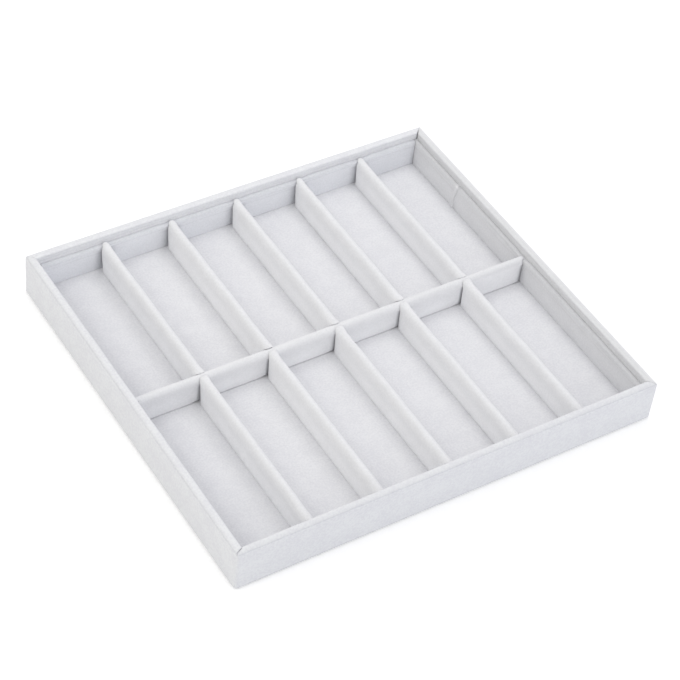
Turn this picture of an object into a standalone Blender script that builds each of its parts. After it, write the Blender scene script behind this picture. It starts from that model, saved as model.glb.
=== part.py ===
import bpy
import bmesh
from math import cos, radians, sin, sqrt
from mathutils import Matrix, Vector

# Open display tray for sunglasses: velvet-covered boards with twelve compartments, six across
# and two deep. Lengths are in metres. +X runs along the width, +Y to the back and +Z up.
# The origin is in the middle of the underside.

# Overall size and the clearance between pieces that touch or are glued
TRAY_WIDTH = 0.400
TRAY_DEPTH = 0.366
TRAY_HEIGHT = 0.042
SEAT_GAP = 0.0003

# Underside
BOTTOM_SHEET_THICKNESS = 0.0005
BOTTOM_SHEET_INSET = 0.006
BASE_BOARD_THICKNESS = 0.0030

# Outer cover: one strip of velvet round all four sides, turned under the base and over the top
OUTER_COVER_THICKNESS = 0.0010
OUTER_CORNER_RADIUS = 0.0030
OUTER_TOP_RADIUS = 0.0020
HEM_WIDTH = 0.014
DART_WIDTH = 0.0012
DART_CUT_HEIGHT = 0.0040

# Walls and the velvet strips that cap them
WALL_BOARD_THICKNESS = 0.0050
WALL_MITRE_GAP = 0.0003
RIM_COVER_THICKNESS = 0.0010
RIM_SETBACK = 0.0012
RIM_OUTER_RADIUS = 0.0009
RIM_INNER_RADIUS = 0.0016
RIM_LEG_DEPTH = 0.022
RIM_MITRE_GAP = 0.0008

# Floor
FLOOR_BOARD_THICKNESS = 0.0015
FLOOR_COVER_THICKNESS = 0.0012
FLOOR_EDGE_RADIUS = 0.0018

# Lining strips that stand on the floor inside the walls
LINER_TOP = 0.0336
LINER_STANDOFF = 0.0003
LINER_BOARD_THICKNESS = 0.0017
LINER_COVER_THICKNESS = 0.0005
LINER_HEM = 0.012
LINER_END_GAP = 0.0010
LINER_JOINT_Y = 0.104
LINER_JOINT_GAP = 0.0005

# Dividers
DIVIDER_COLUMNS = 6
DIVIDER_BOARD_THICKNESS = 0.0050
DIVIDER_END_LEAN = 0.0025
DIVIDER_END_INNER_RADIUS = 0.0003
SHORT_DIVIDER_TOP = 0.0348
SHORT_COVER_THICKNESS = 0.0018
SHORT_COVER_RADIUS = 0.0040
CENTER_DIVIDER_TOP = 0.0343
CENTER_COVER_THICKNESS = 0.0009
CENTER_COVER_RADIUS = 0.0032

# Facets on rounded edges
ARC_STEPS = 5
BEVEL_SEGMENTS = 4

# Modelling tolerances: how squarely a face points along an axis, as a cosine, and two distances
SQUARE_ON = 0.99
WELD_DISTANCE = 0.00001
CUT_TOLERANCE = 0.000001

# Heights, from the underside up
hem_bottom = BOTTOM_SHEET_THICKNESS + SEAT_GAP
base_bottom = hem_bottom + OUTER_COVER_THICKNESS + SEAT_GAP
wall_bottom = base_bottom + BASE_BOARD_THICKNESS + SEAT_GAP
floor_cover_bottom = wall_bottom + FLOOR_BOARD_THICKNESS + SEAT_GAP
floor_top = floor_cover_bottom + FLOOR_COVER_THICKNESS
lining_bottom = floor_top + SEAT_GAP
rim_cover_under = TRAY_HEIGHT - RIM_COVER_THICKNESS
turn_in_top = rim_cover_under - SEAT_GAP
wall_top = turn_in_top - OUTER_COVER_THICKNESS - SEAT_GAP

# Distances inward from the outer face of a wall
wall_out = OUTER_COVER_THICKNESS + SEAT_GAP
wall_in = wall_out + WALL_BOARD_THICKNESS
rim_leg_out = wall_in + SEAT_GAP
rim_in = rim_leg_out + RIM_COVER_THICKNESS
liner_out = rim_in + LINER_STANDOFF
liner_thickness = LINER_BOARD_THICKNESS + 2 * (LINER_COVER_THICKNESS + SEAT_GAP)
liner_in = liner_out + liner_thickness
turn_in_end = rim_in - RIM_INNER_RADIUS

# Compartments
short_thickness = DIVIDER_BOARD_THICKNESS + 2 * (SHORT_COVER_THICKNESS + SEAT_GAP)
center_thickness = DIVIDER_BOARD_THICKNESS + 2 * (CENTER_COVER_THICKNESS + SEAT_GAP)
inner_width = TRAY_WIDTH - 2 * liner_in
inner_depth = TRAY_DEPTH - 2 * liner_in
divider_count = DIVIDER_COLUMNS - 1
compartment_width = (inner_width - divider_count * short_thickness) / DIVIDER_COLUMNS
divider_pitch = compartment_width + short_thickness
center_length = inner_width - 2 * SEAT_GAP
short_length = (inner_depth - center_thickness) / 2 - 2 * SEAT_GAP
short_middle = (center_thickness + inner_depth) / 4

# An outline is drawn as (distance inward, height). Laid on the front wall, inward is +Y.
LAY_ON_FRONT = Matrix(((0, 0, 1, 0), (1, 0, 0, 0), (0, 1, 0, 0), (0, 0, 0, 1)))
SIDES = {
    "front": (0, TRAY_DEPTH / 2, TRAY_WIDTH / 2),
    "right": (90, TRAY_WIDTH / 2, TRAY_DEPTH / 2),
    "back": (180, TRAY_DEPTH / 2, TRAY_WIDTH / 2),
    "left": (270, TRAY_WIDTH / 2, TRAY_DEPTH / 2),
}


def clear_scene():
    for item in list(bpy.data.objects):
        bpy.data.objects.remove(item, do_unlink=True)


def new_collection(name):
    collection = bpy.data.collections.new(name)
    bpy.context.scene.collection.children.link(collection)
    return collection


def new_material(name, color, roughness):
    material = bpy.data.materials.new(name)
    material.use_nodes = True
    shader = material.node_tree.nodes["Principled BSDF"]
    shader.inputs["Base Color"].default_value = (*color, 1.0)
    shader.inputs["Roughness"].default_value = roughness
    shader.inputs["Metallic"].default_value = 0.0
    return material


def add_part(name, mesh, material, matrix=Matrix.Identity(4)):
    part = bpy.data.objects.new(name, mesh)
    mesh.materials.clear()
    mesh.materials.append(material)
    tray.objects.link(part)
    part.matrix_world = matrix
    return part


def side_matrix(side):
    turn, to_face, _ = SIDES[side]
    return Matrix.Rotation(radians(turn), 4, "Z") @ Matrix.Translation((0, -to_face, 0)) @ LAY_ON_FRONT


def arc(center, radius, start, end):
    points = []
    for step in range(ARC_STEPS + 1):
        angle = radians(start + (end - start) * step / ARC_STEPS)
        points.append((center[0] + radius * cos(angle), center[1] + radius * sin(angle)))
    return points


def extruded_outline(name, outline, start, end):
    # A filled flat curve, thick from start to end along the third axis, made into a mesh
    curve = bpy.data.curves.new(name, "CURVE")
    curve.dimensions = "2D"
    curve.fill_mode = "BOTH"
    curve.extrude = (end - start) / 2
    spline = curve.splines.new("POLY")
    spline.points.add(len(outline) - 1)
    for point, place in zip(spline.points, outline):
        point.co = (place[0], place[1], 0, 1)
    spline.use_cyclic_u = True
    holder = bpy.data.objects.new(name, curve)
    bpy.context.scene.collection.objects.link(holder)
    mesh = bpy.data.meshes.new_from_object(holder.evaluated_get(bpy.context.evaluated_depsgraph_get()))
    bpy.data.objects.remove(holder)
    shape = bmesh.new()
    shape.from_mesh(mesh)
    bmesh.ops.remove_doubles(shape, verts=shape.verts, dist=WELD_DISTANCE)
    bmesh.ops.translate(shape, verts=shape.verts, vec=(0, 0, (start + end) / 2))
    shape.to_mesh(mesh)
    shape.free()
    mesh.name = name
    return mesh


def cut_ends(mesh, place, normal):
    # Cuts both ends of a bar with a plane and its mirror image, and closes the cuts
    shape = bmesh.new()
    shape.from_mesh(mesh)
    for end in (1, -1):
        cut = bmesh.ops.bisect_plane(
            shape, geom=shape.verts[:] + shape.edges[:] + shape.faces[:], dist=CUT_TOLERANCE,
            plane_co=(place[0], place[1], end * place[2]),
            plane_no=(normal[0], normal[1], end * normal[2]), clear_outer=True)
        rim = [item for item in cut["geom_cut"] if isinstance(item, bmesh.types.BMEdge)]
        bmesh.ops.contextual_create(shape, geom=rim)
    bmesh.ops.recalc_face_normals(shape, faces=shape.faces)
    shape.to_mesh(mesh)
    shape.free()


def mitred_mesh(name, outline, side, gap):
    # A bar along one side of the tray, whose ends are mitred to meet its neighbours
    reach = SIDES[side][2]
    mesh = extruded_outline(name, outline, -reach, reach)
    cut_ends(mesh, (0, 0, reach - gap / sqrt(2)), (1, 0, 1))
    return mesh


def boxed(size, location, open_faces=()):
    # A cube of the given size, without the faces whose normals are named
    shape = bmesh.new()
    bmesh.ops.create_cube(shape, size=1, matrix=Matrix.Translation(location) @ Matrix.Diagonal((*size, 1)))
    shape.normal_update()
    gone = [face for face in shape.faces for axis in open_faces if face.normal.dot(Vector(axis)) > SQUARE_ON]
    bmesh.ops.delete(shape, geom=gone, context="FACES")
    return shape


def weight_edges(shape, choose):
    # The bevel weight of each edge that the function names, as a share of the full width
    weights = shape.edges.layers.float.new("bevel_weight_edge")
    for edge in shape.edges:
        edge[weights] = choose(edge.verts[0].co, edge.verts[1].co)


def finish_mesh(shape, name):
    mesh = bpy.data.meshes.new(name)
    shape.to_mesh(mesh)
    shape.free()
    return mesh


def add_bevel(part, width):
    bevel = part.modifiers.new("rounded edges", "BEVEL")
    bevel.limit_method = "WEIGHT"
    bevel.width = width
    bevel.segments = BEVEL_SEGMENTS
    bevel.use_clamp_overlap = False


def add_wall(part, thickness):
    wall = part.modifiers.new("cloth thickness", "SOLIDIFY")
    wall.thickness = thickness
    wall.offset = -1
    wall.use_even_offset = True


def is_upright(first, second):
    return abs(first.z - second.z) > abs(first.x - second.x) + abs(first.y - second.y)


def block_mesh(name, size, end_share, open_bottom):
    # A block with rounded top edges, whose two ends lean back towards the bottom. The edges round
    # each end are rounded less, by the given share of the full width.
    length, thickness, height = size
    faces = ((0, 0, -1),) if open_bottom else ()
    shape = boxed(size, (0, 0, height / 2), faces)
    for vert in shape.verts:
        if vert.co.z < height / 2:
            vert.co.x -= DIVIDER_END_LEAN if vert.co.x > 0 else -DIVIDER_END_LEAN

    def share(a, b):
        if is_upright(a, b):
            return end_share
        if min(a.z, b.z) < height / 2:
            return 0.0
        return 1.0 if abs(a.x - b.x) > abs(a.y - b.y) else end_share

    weight_edges(shape, share)
    return finish_mesh(shape, name)


def build_bottom_sheet():
    size = (TRAY_WIDTH - 2 * BOTTOM_SHEET_INSET, TRAY_DEPTH - 2 * BOTTOM_SHEET_INSET, BOTTOM_SHEET_THICKNESS)
    shape = boxed(size, (0, 0, size[2] / 2))
    weight_edges(shape, lambda a, b: 1.0 if is_upright(a, b) else 0.0)
    sheet = add_part("bottom_sheet", finish_mesh(shape, "bottom_sheet"), sheet_paper)
    add_bevel(sheet, OUTER_CORNER_RADIUS)


def build_base_board():
    size = (TRAY_WIDTH - 2 * wall_out, TRAY_DEPTH - 2 * wall_out, BASE_BOARD_THICKNESS)
    middle = base_bottom + size[2] / 2
    shape = boxed(size, (0, 0, middle))
    weight_edges(shape, lambda a, b: 1.0 if is_upright(a, b) or max(a.z, b.z) < middle else 0.0)
    board = add_part("base_board", finish_mesh(shape, "base_board"), grey_board)
    add_bevel(board, OUTER_CORNER_RADIUS - wall_out)


def build_outer_cover():
    height = turn_in_top - hem_bottom
    shape = boxed((TRAY_WIDTH, TRAY_DEPTH, height), (0, 0, hem_bottom + height / 2))
    for axis, width in (((0, 0, -1), HEM_WIDTH), ((0, 0, 1), turn_in_end)):
        flat = [face for face in shape.faces if face.normal.dot(Vector(axis)) > SQUARE_ON]
        bmesh.ops.inset_region(shape, faces=flat, thickness=width, use_even_offset=True)
        bmesh.ops.delete(shape, geom=flat, context="FACES")

    def share(a, b):
        if is_upright(a, b):
            return 1.0
        on_corner = all(abs(abs(v.x) - TRAY_WIDTH / 2) < SEAT_GAP and abs(abs(v.y) - TRAY_DEPTH / 2) < SEAT_GAP
                        for v in (a, b))
        if not on_corner:
            return 0.0
        return 1.0 if a.z < height / 2 else OUTER_TOP_RADIUS / OUTER_CORNER_RADIUS

    weight_edges(shape, share)
    cover = add_part("outer_cover", finish_mesh(shape, "outer_cover"), outer_velvet)
    add_bevel(cover, OUTER_CORNER_RADIUS)
    add_wall(cover, OUTER_COVER_THICKNESS)
    cut_darts(cover)


def cut_darts(cover):
    # The slits that let the turned-in edge lie flat at the four corners
    outer = OUTER_CORNER_RADIUS
    inner = turn_in_end + DART_WIDTH
    length = (inner - outer) * sqrt(2)
    shape = bmesh.new()
    for side_x in (1, -1):
        for side_y in (1, -1):
            reach = (inner + outer) / 2
            place = (side_x * (TRAY_WIDTH / 2 - reach), side_y * (TRAY_DEPTH / 2 - reach), turn_in_top)
            turn = Matrix.Rotation(radians(45 * side_x * side_y), 4, "Z")
            size = Matrix.Diagonal((length, DART_WIDTH, DART_CUT_HEIGHT, 1))
            bmesh.ops.create_cube(shape, size=1, matrix=Matrix.Translation(place) @ turn @ size)
    cutter = bpy.data.objects.new("dart_cutter", finish_mesh(shape, "dart_cutter"))
    cutter.hide_render = True
    cutter.display_type = "WIRE"
    cutters.objects.link(cutter)
    darts = cover.modifiers.new("corner darts", "BOOLEAN")
    darts.operation = "DIFFERENCE"
    darts.solver = "EXACT"
    darts.object = cutter


def build_walls():
    radius = OUTER_TOP_RADIUS - wall_out
    outline = [(wall_out, wall_bottom), (wall_in, wall_bottom), (wall_in, wall_top)]
    outline += arc((wall_out + radius, wall_top - radius), radius, 90, 180)
    for side, (_, _, reach) in SIDES.items():
        name = "wall_board_" + side
        mesh = mitred_mesh(name, outline, side, WALL_MITRE_GAP)
        cut_ends(mesh, (0, 0, reach - OUTER_CORNER_RADIUS), (0, 0, 1))
        add_part(name, mesh, grey_board, side_matrix(side))


def build_rim_covers():
    bend = (turn_in_end, TRAY_HEIGHT - RIM_INNER_RADIUS)
    leg_bottom = TRAY_HEIGHT - RIM_LEG_DEPTH
    outline = [(RIM_SETBACK, rim_cover_under)]
    outline += arc(bend, RIM_INNER_RADIUS - RIM_COVER_THICKNESS, 90, 0)
    outline += [(rim_leg_out, leg_bottom), (rim_in, leg_bottom)]
    outline += arc(bend, RIM_INNER_RADIUS, 0, 90)
    outline += arc((RIM_SETBACK + RIM_OUTER_RADIUS, TRAY_HEIGHT - RIM_OUTER_RADIUS), RIM_OUTER_RADIUS, 90, 180)
    for side in SIDES:
        name = "rim_cover_" + side
        add_part(name, mitred_mesh(name, outline, side, RIM_MITRE_GAP), rim_velvet, side_matrix(side))


def build_floor():
    cover_size = (TRAY_WIDTH - 2 * (rim_in + SEAT_GAP), TRAY_DEPTH - 2 * (rim_in + SEAT_GAP), floor_top - wall_bottom)
    shape = boxed(cover_size, (0, 0, wall_bottom + cover_size[2] / 2), ((0, 0, -1),))
    weight_edges(shape, lambda a, b: 1.0 if is_upright(a, b) or min(a.z, b.z) > floor_cover_bottom else 0.0)
    cover = add_part("floor_cover", finish_mesh(shape, "floor_cover"), floor_velvet)
    add_bevel(cover, FLOOR_EDGE_RADIUS)
    add_wall(cover, FLOOR_COVER_THICKNESS)
    around = 2 * (FLOOR_COVER_THICKNESS + SEAT_GAP)
    board_size = (cover_size[0] - around, cover_size[1] - around, FLOOR_BOARD_THICKNESS)
    shape = boxed(board_size, (0, 0, wall_bottom + FLOOR_BOARD_THICKNESS / 2))
    weight_edges(shape, lambda a, b: 1.0 if is_upright(a, b) else 0.0)
    board = add_part("floor_board", finish_mesh(shape, "floor_board"), grey_board)
    add_bevel(board, FLOOR_EDGE_RADIUS)


def build_liners():
    middle = liner_out + liner_thickness / 2
    half = liner_thickness / 2
    center = (middle, LINER_TOP - half)
    board_half = LINER_BOARD_THICKNESS / 2
    inner = half - LINER_COVER_THICKNESS
    board = [(middle - board_half, lining_bottom), (middle + board_half, lining_bottom)]
    board += arc(center, board_half, 0, 180)
    cover = [(liner_in - LINER_COVER_THICKNESS, lining_bottom), (liner_in, lining_bottom)]
    cover += arc(center, half, 0, 180)
    cover += [(liner_out, LINER_TOP - LINER_HEM), (liner_out + LINER_COVER_THICKNESS, LINER_TOP - LINER_HEM)]
    cover += arc(center, inner, 180, 0)
    across = TRAY_WIDTH / 2 - liner_in - LINER_END_GAP
    along = TRAY_DEPTH / 2 - rim_in - SEAT_GAP
    strips = (
        ("front", "front", -across, across),
        ("back", "back", -across, across),
        ("left", "left", -along, along),
        ("right_front", "right", -along, LINER_JOINT_Y - LINER_JOINT_GAP / 2),
        ("right_rear", "right", LINER_JOINT_Y + LINER_JOINT_GAP / 2, along),
    )
    for name, side, start, end in strips:
        for kind, outline, material in (("board", board, grey_board), ("cover", cover, liner_velvet)):
            label = "liner_" + kind + "_" + name
            add_part(label, extruded_outline(label, outline, start, end), material, side_matrix(side))


def build_dividers():
    kinds = {
        "center": (center_length, center_thickness, CENTER_DIVIDER_TOP, CENTER_COVER_THICKNESS, CENTER_COVER_RADIUS),
        "short": (short_length, short_thickness, SHORT_DIVIDER_TOP, SHORT_COVER_THICKNESS, SHORT_COVER_RADIUS),
    }
    meshes = {}
    for kind, (length, thickness, top, cloth, radius) in kinds.items():
        around = cloth + SEAT_GAP
        end_share = (cloth + DIVIDER_END_INNER_RADIUS) / radius
        size = (length, thickness, top - lining_bottom)
        inside = (length - 2 * around, thickness - 2 * around, size[2] - around)
        meshes[kind] = (
            block_mesh(kind + "_divider_cover", size, end_share, True),
            block_mesh(kind + "_divider_board", inside, end_share, False),
            cloth, radius, around)
    places = [("center", "center_divider", 0, 0, 0)]
    for row, sign in (("front", -1), ("back", 1)):
        for index in range(divider_count):
            x = (index - (divider_count - 1) / 2) * divider_pitch
            places.append(("short", row + "_divider_" + str(index + 1), x, sign * short_middle, 90))
    for kind, name, x, y, turn in places:
        cover_mesh, board_mesh, cloth, radius, around = meshes[kind]
        matrix = Matrix.Translation((x, y, lining_bottom)) @ Matrix.Rotation(radians(turn), 4, "Z")
        cover = add_part(name + "_cover", cover_mesh, divider_velvet, matrix)
        add_bevel(cover, radius)
        add_wall(cover, cloth)
        board = add_part(name + "_board", board_mesh, grey_board, matrix)
        add_bevel(board, radius - around)


clear_scene()
tray = new_collection("sunglasses_tray")
cutters = new_collection("cutters")
outer_velvet = new_material("outer velvet", (0.70, 0.72, 0.76), 0.95)
rim_velvet = new_material("rim velvet", (0.78, 0.80, 0.83), 0.95)
floor_velvet = new_material("floor velvet", (0.72, 0.74, 0.78), 0.95)
liner_velvet = new_material("liner velvet", (0.66, 0.67, 0.70), 0.95)
divider_velvet = new_material("divider velvet", (0.74, 0.75, 0.77), 0.95)
grey_board = new_material("grey board", (0.38, 0.36, 0.33), 0.90)
sheet_paper = new_material("sheet paper", (0.80, 0.80, 0.78), 0.85)
build_bottom_sheet()
build_base_board()
build_outer_cover()
build_walls()
build_rim_covers()
build_floor()
build_liners()
build_dividers()
bpy.context.view_layer.update()
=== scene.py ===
from math import cos, radians, sin, sqrt

import bmesh
import bpy
from mathutils import Matrix, Vector, noise


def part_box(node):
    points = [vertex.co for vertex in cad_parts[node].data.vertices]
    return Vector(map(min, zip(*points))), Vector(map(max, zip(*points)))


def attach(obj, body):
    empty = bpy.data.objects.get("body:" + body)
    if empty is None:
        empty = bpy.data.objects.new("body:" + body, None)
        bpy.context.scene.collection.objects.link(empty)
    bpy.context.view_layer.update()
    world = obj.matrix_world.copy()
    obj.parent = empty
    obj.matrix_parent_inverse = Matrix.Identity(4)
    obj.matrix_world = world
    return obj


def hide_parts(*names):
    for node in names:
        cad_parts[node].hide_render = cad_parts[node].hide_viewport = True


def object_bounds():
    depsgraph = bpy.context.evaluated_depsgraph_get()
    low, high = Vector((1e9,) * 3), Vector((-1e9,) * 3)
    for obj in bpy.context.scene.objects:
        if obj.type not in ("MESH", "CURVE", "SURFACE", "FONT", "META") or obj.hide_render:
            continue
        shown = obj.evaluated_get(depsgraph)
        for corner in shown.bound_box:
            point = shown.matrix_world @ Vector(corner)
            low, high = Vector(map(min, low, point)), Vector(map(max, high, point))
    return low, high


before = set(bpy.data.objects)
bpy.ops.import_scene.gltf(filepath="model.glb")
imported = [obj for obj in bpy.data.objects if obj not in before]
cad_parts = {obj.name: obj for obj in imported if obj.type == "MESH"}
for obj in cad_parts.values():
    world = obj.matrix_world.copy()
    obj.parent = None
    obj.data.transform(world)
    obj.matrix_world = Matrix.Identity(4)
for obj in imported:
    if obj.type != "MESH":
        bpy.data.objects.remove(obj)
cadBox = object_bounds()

# Open display tray for sunglasses: boards wrapped in pale velvet, twelve compartments.
# Metres, +X along the width, +Y to the back, +Z up, origin under the middle of the tray.

mm = 0.001
tiny = 0.01 * mm
trayLow, trayHigh = Vector(cadBox[0]), Vector(cadBox[1])
print("frame loaded:", len(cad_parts), "nodes")


nodeBoxes = {name: [Vector(corner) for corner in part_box(name)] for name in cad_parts}


def nodeBox(name):
    low, high = nodeBoxes[name]
    return low.copy(), high.copy()


def nodeMiddle(name):
    low, high = nodeBoxes[name]
    return (low + high) / 2


# Small helpers

def smooth(value, start, end):  # 0 before start, 1 after end
    part = min(max((value - start) / (end - start), 0.0), 1.0)
    return part * part * (3 - 2 * part)


def fade(value, start, end):  # 1 before start, 0 after end
    return 1 - smooth(value, start, end)


def fading(value, amount, start, end):
    return amount * fade(value, start, end)


def hump(value, middle, reach):  # 1 at the middle, 0 beyond the reach
    return fade(abs(value - middle), 0.0, reach)


def uneven(point, size, seed):  # gentle swells of this size, -1 to 1
    place = Vector(point) / size + Vector((seed * 17.3, seed * 5.1, seed * 9.7))
    return max(-1.0, min(1.0, 2 * noise.noise(place)))


def startBlock(name, low, high):  # a block, left in edit mode
    bpy.ops.object.select_all(action="DESELECT")
    bpy.ops.mesh.primitive_cube_add(size=1, location=(low + high) / 2, scale=high - low)
    piece = bpy.context.object
    piece.name = name
    piece.data.name = name
    bpy.ops.object.transform_apply(location=True, rotation=True, scale=True)
    bpy.ops.object.mode_set(mode="EDIT")
    return piece


def pick(kind, test):  # selects the EDGE or FACE items that pass the test
    bpy.ops.mesh.select_mode(type=kind)
    bpy.ops.mesh.select_all(action="DESELECT")
    shape = bmesh.from_edit_mesh(bpy.context.object.data)
    shape.normal_update()
    for item in shape.edges if kind == "EDGE" else shape.faces:
        if test(item):
            item.select_set(True)
    shape.select_flush_mode()
    bmesh.update_edit_mesh(bpy.context.object.data)


def removeFaces(test):
    pick("FACE", test)
    bpy.ops.mesh.delete(type="FACE")


def along(edge, axis):  # whether an edge runs along the axis 0, 1 or 2
    run = edge.verts[1].co - edge.verts[0].co
    return abs(run[axis]) > 0.9 * run.length


def cutAlong(axis, cuts, longer=0):  # cuts the edges along the axis that are longer, in mm
    for count in cuts:
        pick("EDGE", lambda edge: along(edge, axis) and edge.calc_length() > longer * mm)
        bpy.ops.mesh.subdivide(number_cuts=count)


def sliceAt(axis, places):  # cuts right through the shape
    across = Vector((axis == 0, axis == 1, axis == 2))
    for place in places:
        bpy.ops.mesh.select_all(action="SELECT")
        bpy.ops.mesh.bisect(plane_co=across * place, plane_no=across)


def roundEdges(width, segments, test):
    pick("EDGE", test)
    bpy.ops.mesh.bevel(offset=width, segments=segments, affect="EDGES")


def leaveEdit():
    bpy.ops.object.mode_set(mode="OBJECT")


def pickPiece(piece):
    bpy.ops.object.select_all(action="DESELECT")
    piece.select_set(True)
    bpy.context.view_layer.objects.active = piece


def applyModifier(piece, kind, settings):
    modifier = piece.modifiers.new(kind.lower(), kind)
    for name, value in settings.items():
        setattr(modifier, name, value)
    pickPiece(piece)
    bpy.ops.object.modifier_apply(modifier=modifier.name)


def paintShade(piece, amounts):  # how much painted shade each point gets, 0 to 1
    layer = piece.data.attributes.new("crushed", "FLOAT", "POINT")
    layer.data.foreach_set("value", [min(max(amount, 0.0), 1.0) for amount in amounts])


def giveThickness(piece, thickness):  # the shape so far is the outer face of the cloth
    bpy.ops.object.mode_set(mode="EDIT")
    bpy.ops.mesh.select_all(action="SELECT")
    bpy.ops.mesh.remove_doubles(threshold=0.03 * mm)
    leaveEdit()
    applyModifier(piece, "SOLIDIFY", {"thickness": thickness, "offset": -1, "use_quality_normals": True})


def softShade(piece, angle=50):
    pickPiece(piece)
    bpy.ops.object.shade_smooth_by_angle(angle=radians(angle))


def turnPiece(piece, degrees, place=(0, 0, 0)):
    pickPiece(piece)
    piece.rotation_euler = (0, 0, radians(degrees))
    piece.location = place
    bpy.ops.object.transform_apply(location=True, rotation=True, scale=True)


def dress(piece, material, slot, *nodes):  # the finish, the slot, which is not used, and the CAD nodes it stands for
    piece.data.materials.clear()
    piece.data.materials.append(material)
    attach(piece, "root")
    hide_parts(*nodes)


# Materials

def hexColor(text):
    values = [int(text[start:start + 2], 16) / 255 for start in (0, 2, 4)]
    linear = [value / 12.92 if value <= 0.04045 else ((value + 0.055) / 1.055) ** 2.4 for value in values]
    return (*linear, 1.0)


def addNode(tree, kind, settings=None, links=None):
    node = tree.nodes.new("ShaderNode" + kind)
    for name, value in (settings or {}).items():
        if isinstance(name, str) and hasattr(node, name):
            setattr(node, name, value)
        else:
            node.inputs[name].default_value = value
    for name, (source, output) in (links or {}).items():
        tree.links.new(source.outputs[output], node.inputs[name])
    return node


def newMaterial(name):
    material = bpy.data.materials.new(name)
    material.use_nodes = True
    return material, material.node_tree, material.node_tree.nodes["Principled BSDF"]


def joinShader(tree, shader, color, bump, values):
    tree.links.new(color.outputs[2], shader.inputs["Base Color"])
    tree.links.new(bump.outputs["Normal"], shader.inputs["Normal"])
    for name, value in values.items():
        shader.inputs[name].default_value = value


# Rayon velvet, sheared to a short pile: matte, but its tips catch light at grazing angles, and
# stroked patches are a shade off
velvetLook = {
    "patch": 15.0,  # mm across a stroked patch of nap
    "stroke": 3.2,  # mm across a brush stroke, and how many times longer it is
    "strokeLength": 2.0,
    "grain": 1.7,  # mm, clumps of pile, drawn too coarse so that they show
    "strokeShare": 0.3,  # share of the strokes beside the patches, and of the grain
    "grainShare": 0.6,
    "contrast": (0.41, 0.59),  # the part of the pattern that runs from dark to light
    "pile": 0.9,  # mm, tufts, coarse as well
    "pileDepth": 0.12,  # mm
    "swellDepth": 0.16,  # mm
    # painted shade: a point attribute, 0 to 1, darkens the colour towards this grey
    "crushed": "85868C",
    "roughness": 0.95,
    "specular": 0.15,
    "sheenRoughness": 0.4,
}
velvets = {  # light and dark colour, and the sheen
    "outer velvet": ("E3E4E7", "DCDCE1", 0.16),
    "rim velvet": ("EEEFF1", "E7E7EB", 0.38),
    # a lighter copy of the rim velvet for the right side: painted light
    "side rim velvet": ("F2F2F3", "ECECED", 0.38),
    "floor velvet": ("F3F3F5", "EBEBEE", 0.06),
    "liner velvet": ("ECEDF1", "E5E6EA", 0.08),
    # a darker copy of the liner velvet for the right side: painted shade
    "side liner velvet": ("E2E2E4", "DCDCDE", 0.08),
    "divider velvet": ("F6F6F8", "F0F0F2", 0.38),
}


def makeVelvet(name):
    look = velvetLook
    light, dark, sheen = velvets[name]
    material, tree, shader = newMaterial(name)
    spot = addNode(tree, "TexCoord")
    patches, grain, pile = (
        addNode(tree, "TexNoise", {"Scale": 1 / (look[size] * mm), "Detail": detail}, {
            "Vector": (spot, "Object")})
        for size, detail in (("patch", 3.0), ("grain", 2.0), ("pile", 2.0)))
    stretch = addNode(tree, "Mapping", {"Scale": (1.0, 1 / look["strokeLength"], 1.0)}, {
        "Vector": (spot, "Object")})
    strokes = addNode(tree, "TexNoise", {"Scale": 1 / (look["stroke"] * mm), "Detail": 2.0}, {
        "Vector": (stretch, "Vector")})
    nap = addNode(tree, "Mix", {"data_type": "FLOAT", "Factor": look["strokeShare"]}, {
        2: (patches, "Fac"), 3: (strokes, "Fac")})
    clumps = addNode(tree, "Mix", {"data_type": "FLOAT", "Factor": look["grainShare"]}, {
        2: (nap, 0), 3: (grain, "Fac")})
    darkest, lightest = look["contrast"]
    spread = addNode(tree, "MapRange", {"From Min": darkest, "From Max": lightest}, {"Value": (clumps, 0)})
    # painted shade: the point attribute darkens the velvet's colour
    worn = addNode(tree, "Attribute", {"attribute_name": "crushed"})
    beforeShade = addNode(tree, "Mix", {"data_type": "RGBA", 6: hexColor(dark), 7: hexColor(light)}, {
        0: (spread, "Result")})
    color = addNode(tree, "Mix", {"data_type": "RGBA", "blend_type": "MULTIPLY",
                                  7: hexColor(look["crushed"])}, {0: (worn, "Fac"), 6: (beforeShade, 2)})
    swell = addNode(tree, "Bump", {"Strength": 1.0, "Distance": look["swellDepth"] * mm}, {
        "Height": (patches, "Fac")})
    tufts = addNode(tree, "Bump", {"Strength": 1.0, "Distance": look["pileDepth"] * mm}, {
        "Height": (pile, "Fac"), "Normal": (swell, "Normal")})
    joinShader(tree, shader, color, tufts, {
        "Roughness": look["roughness"], "Specular IOR Level": look["specular"], "Sheen Weight": sheen,
        "Sheen Roughness": look["sheenRoughness"], "Sheen Tint": hexColor("FFFFFF")})
    return material


# Grey board of waste-paper pulp: dull, flecked with darker fibre
boardLook = {"fleck": 1.2, "cloud": 14.0, "cloudShare": 0.4, "contrast": (0.35, 0.65), "light": "9B968E",
             "dark": "77736B", "depth": 0.05, "roughness": 0.9}


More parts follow.
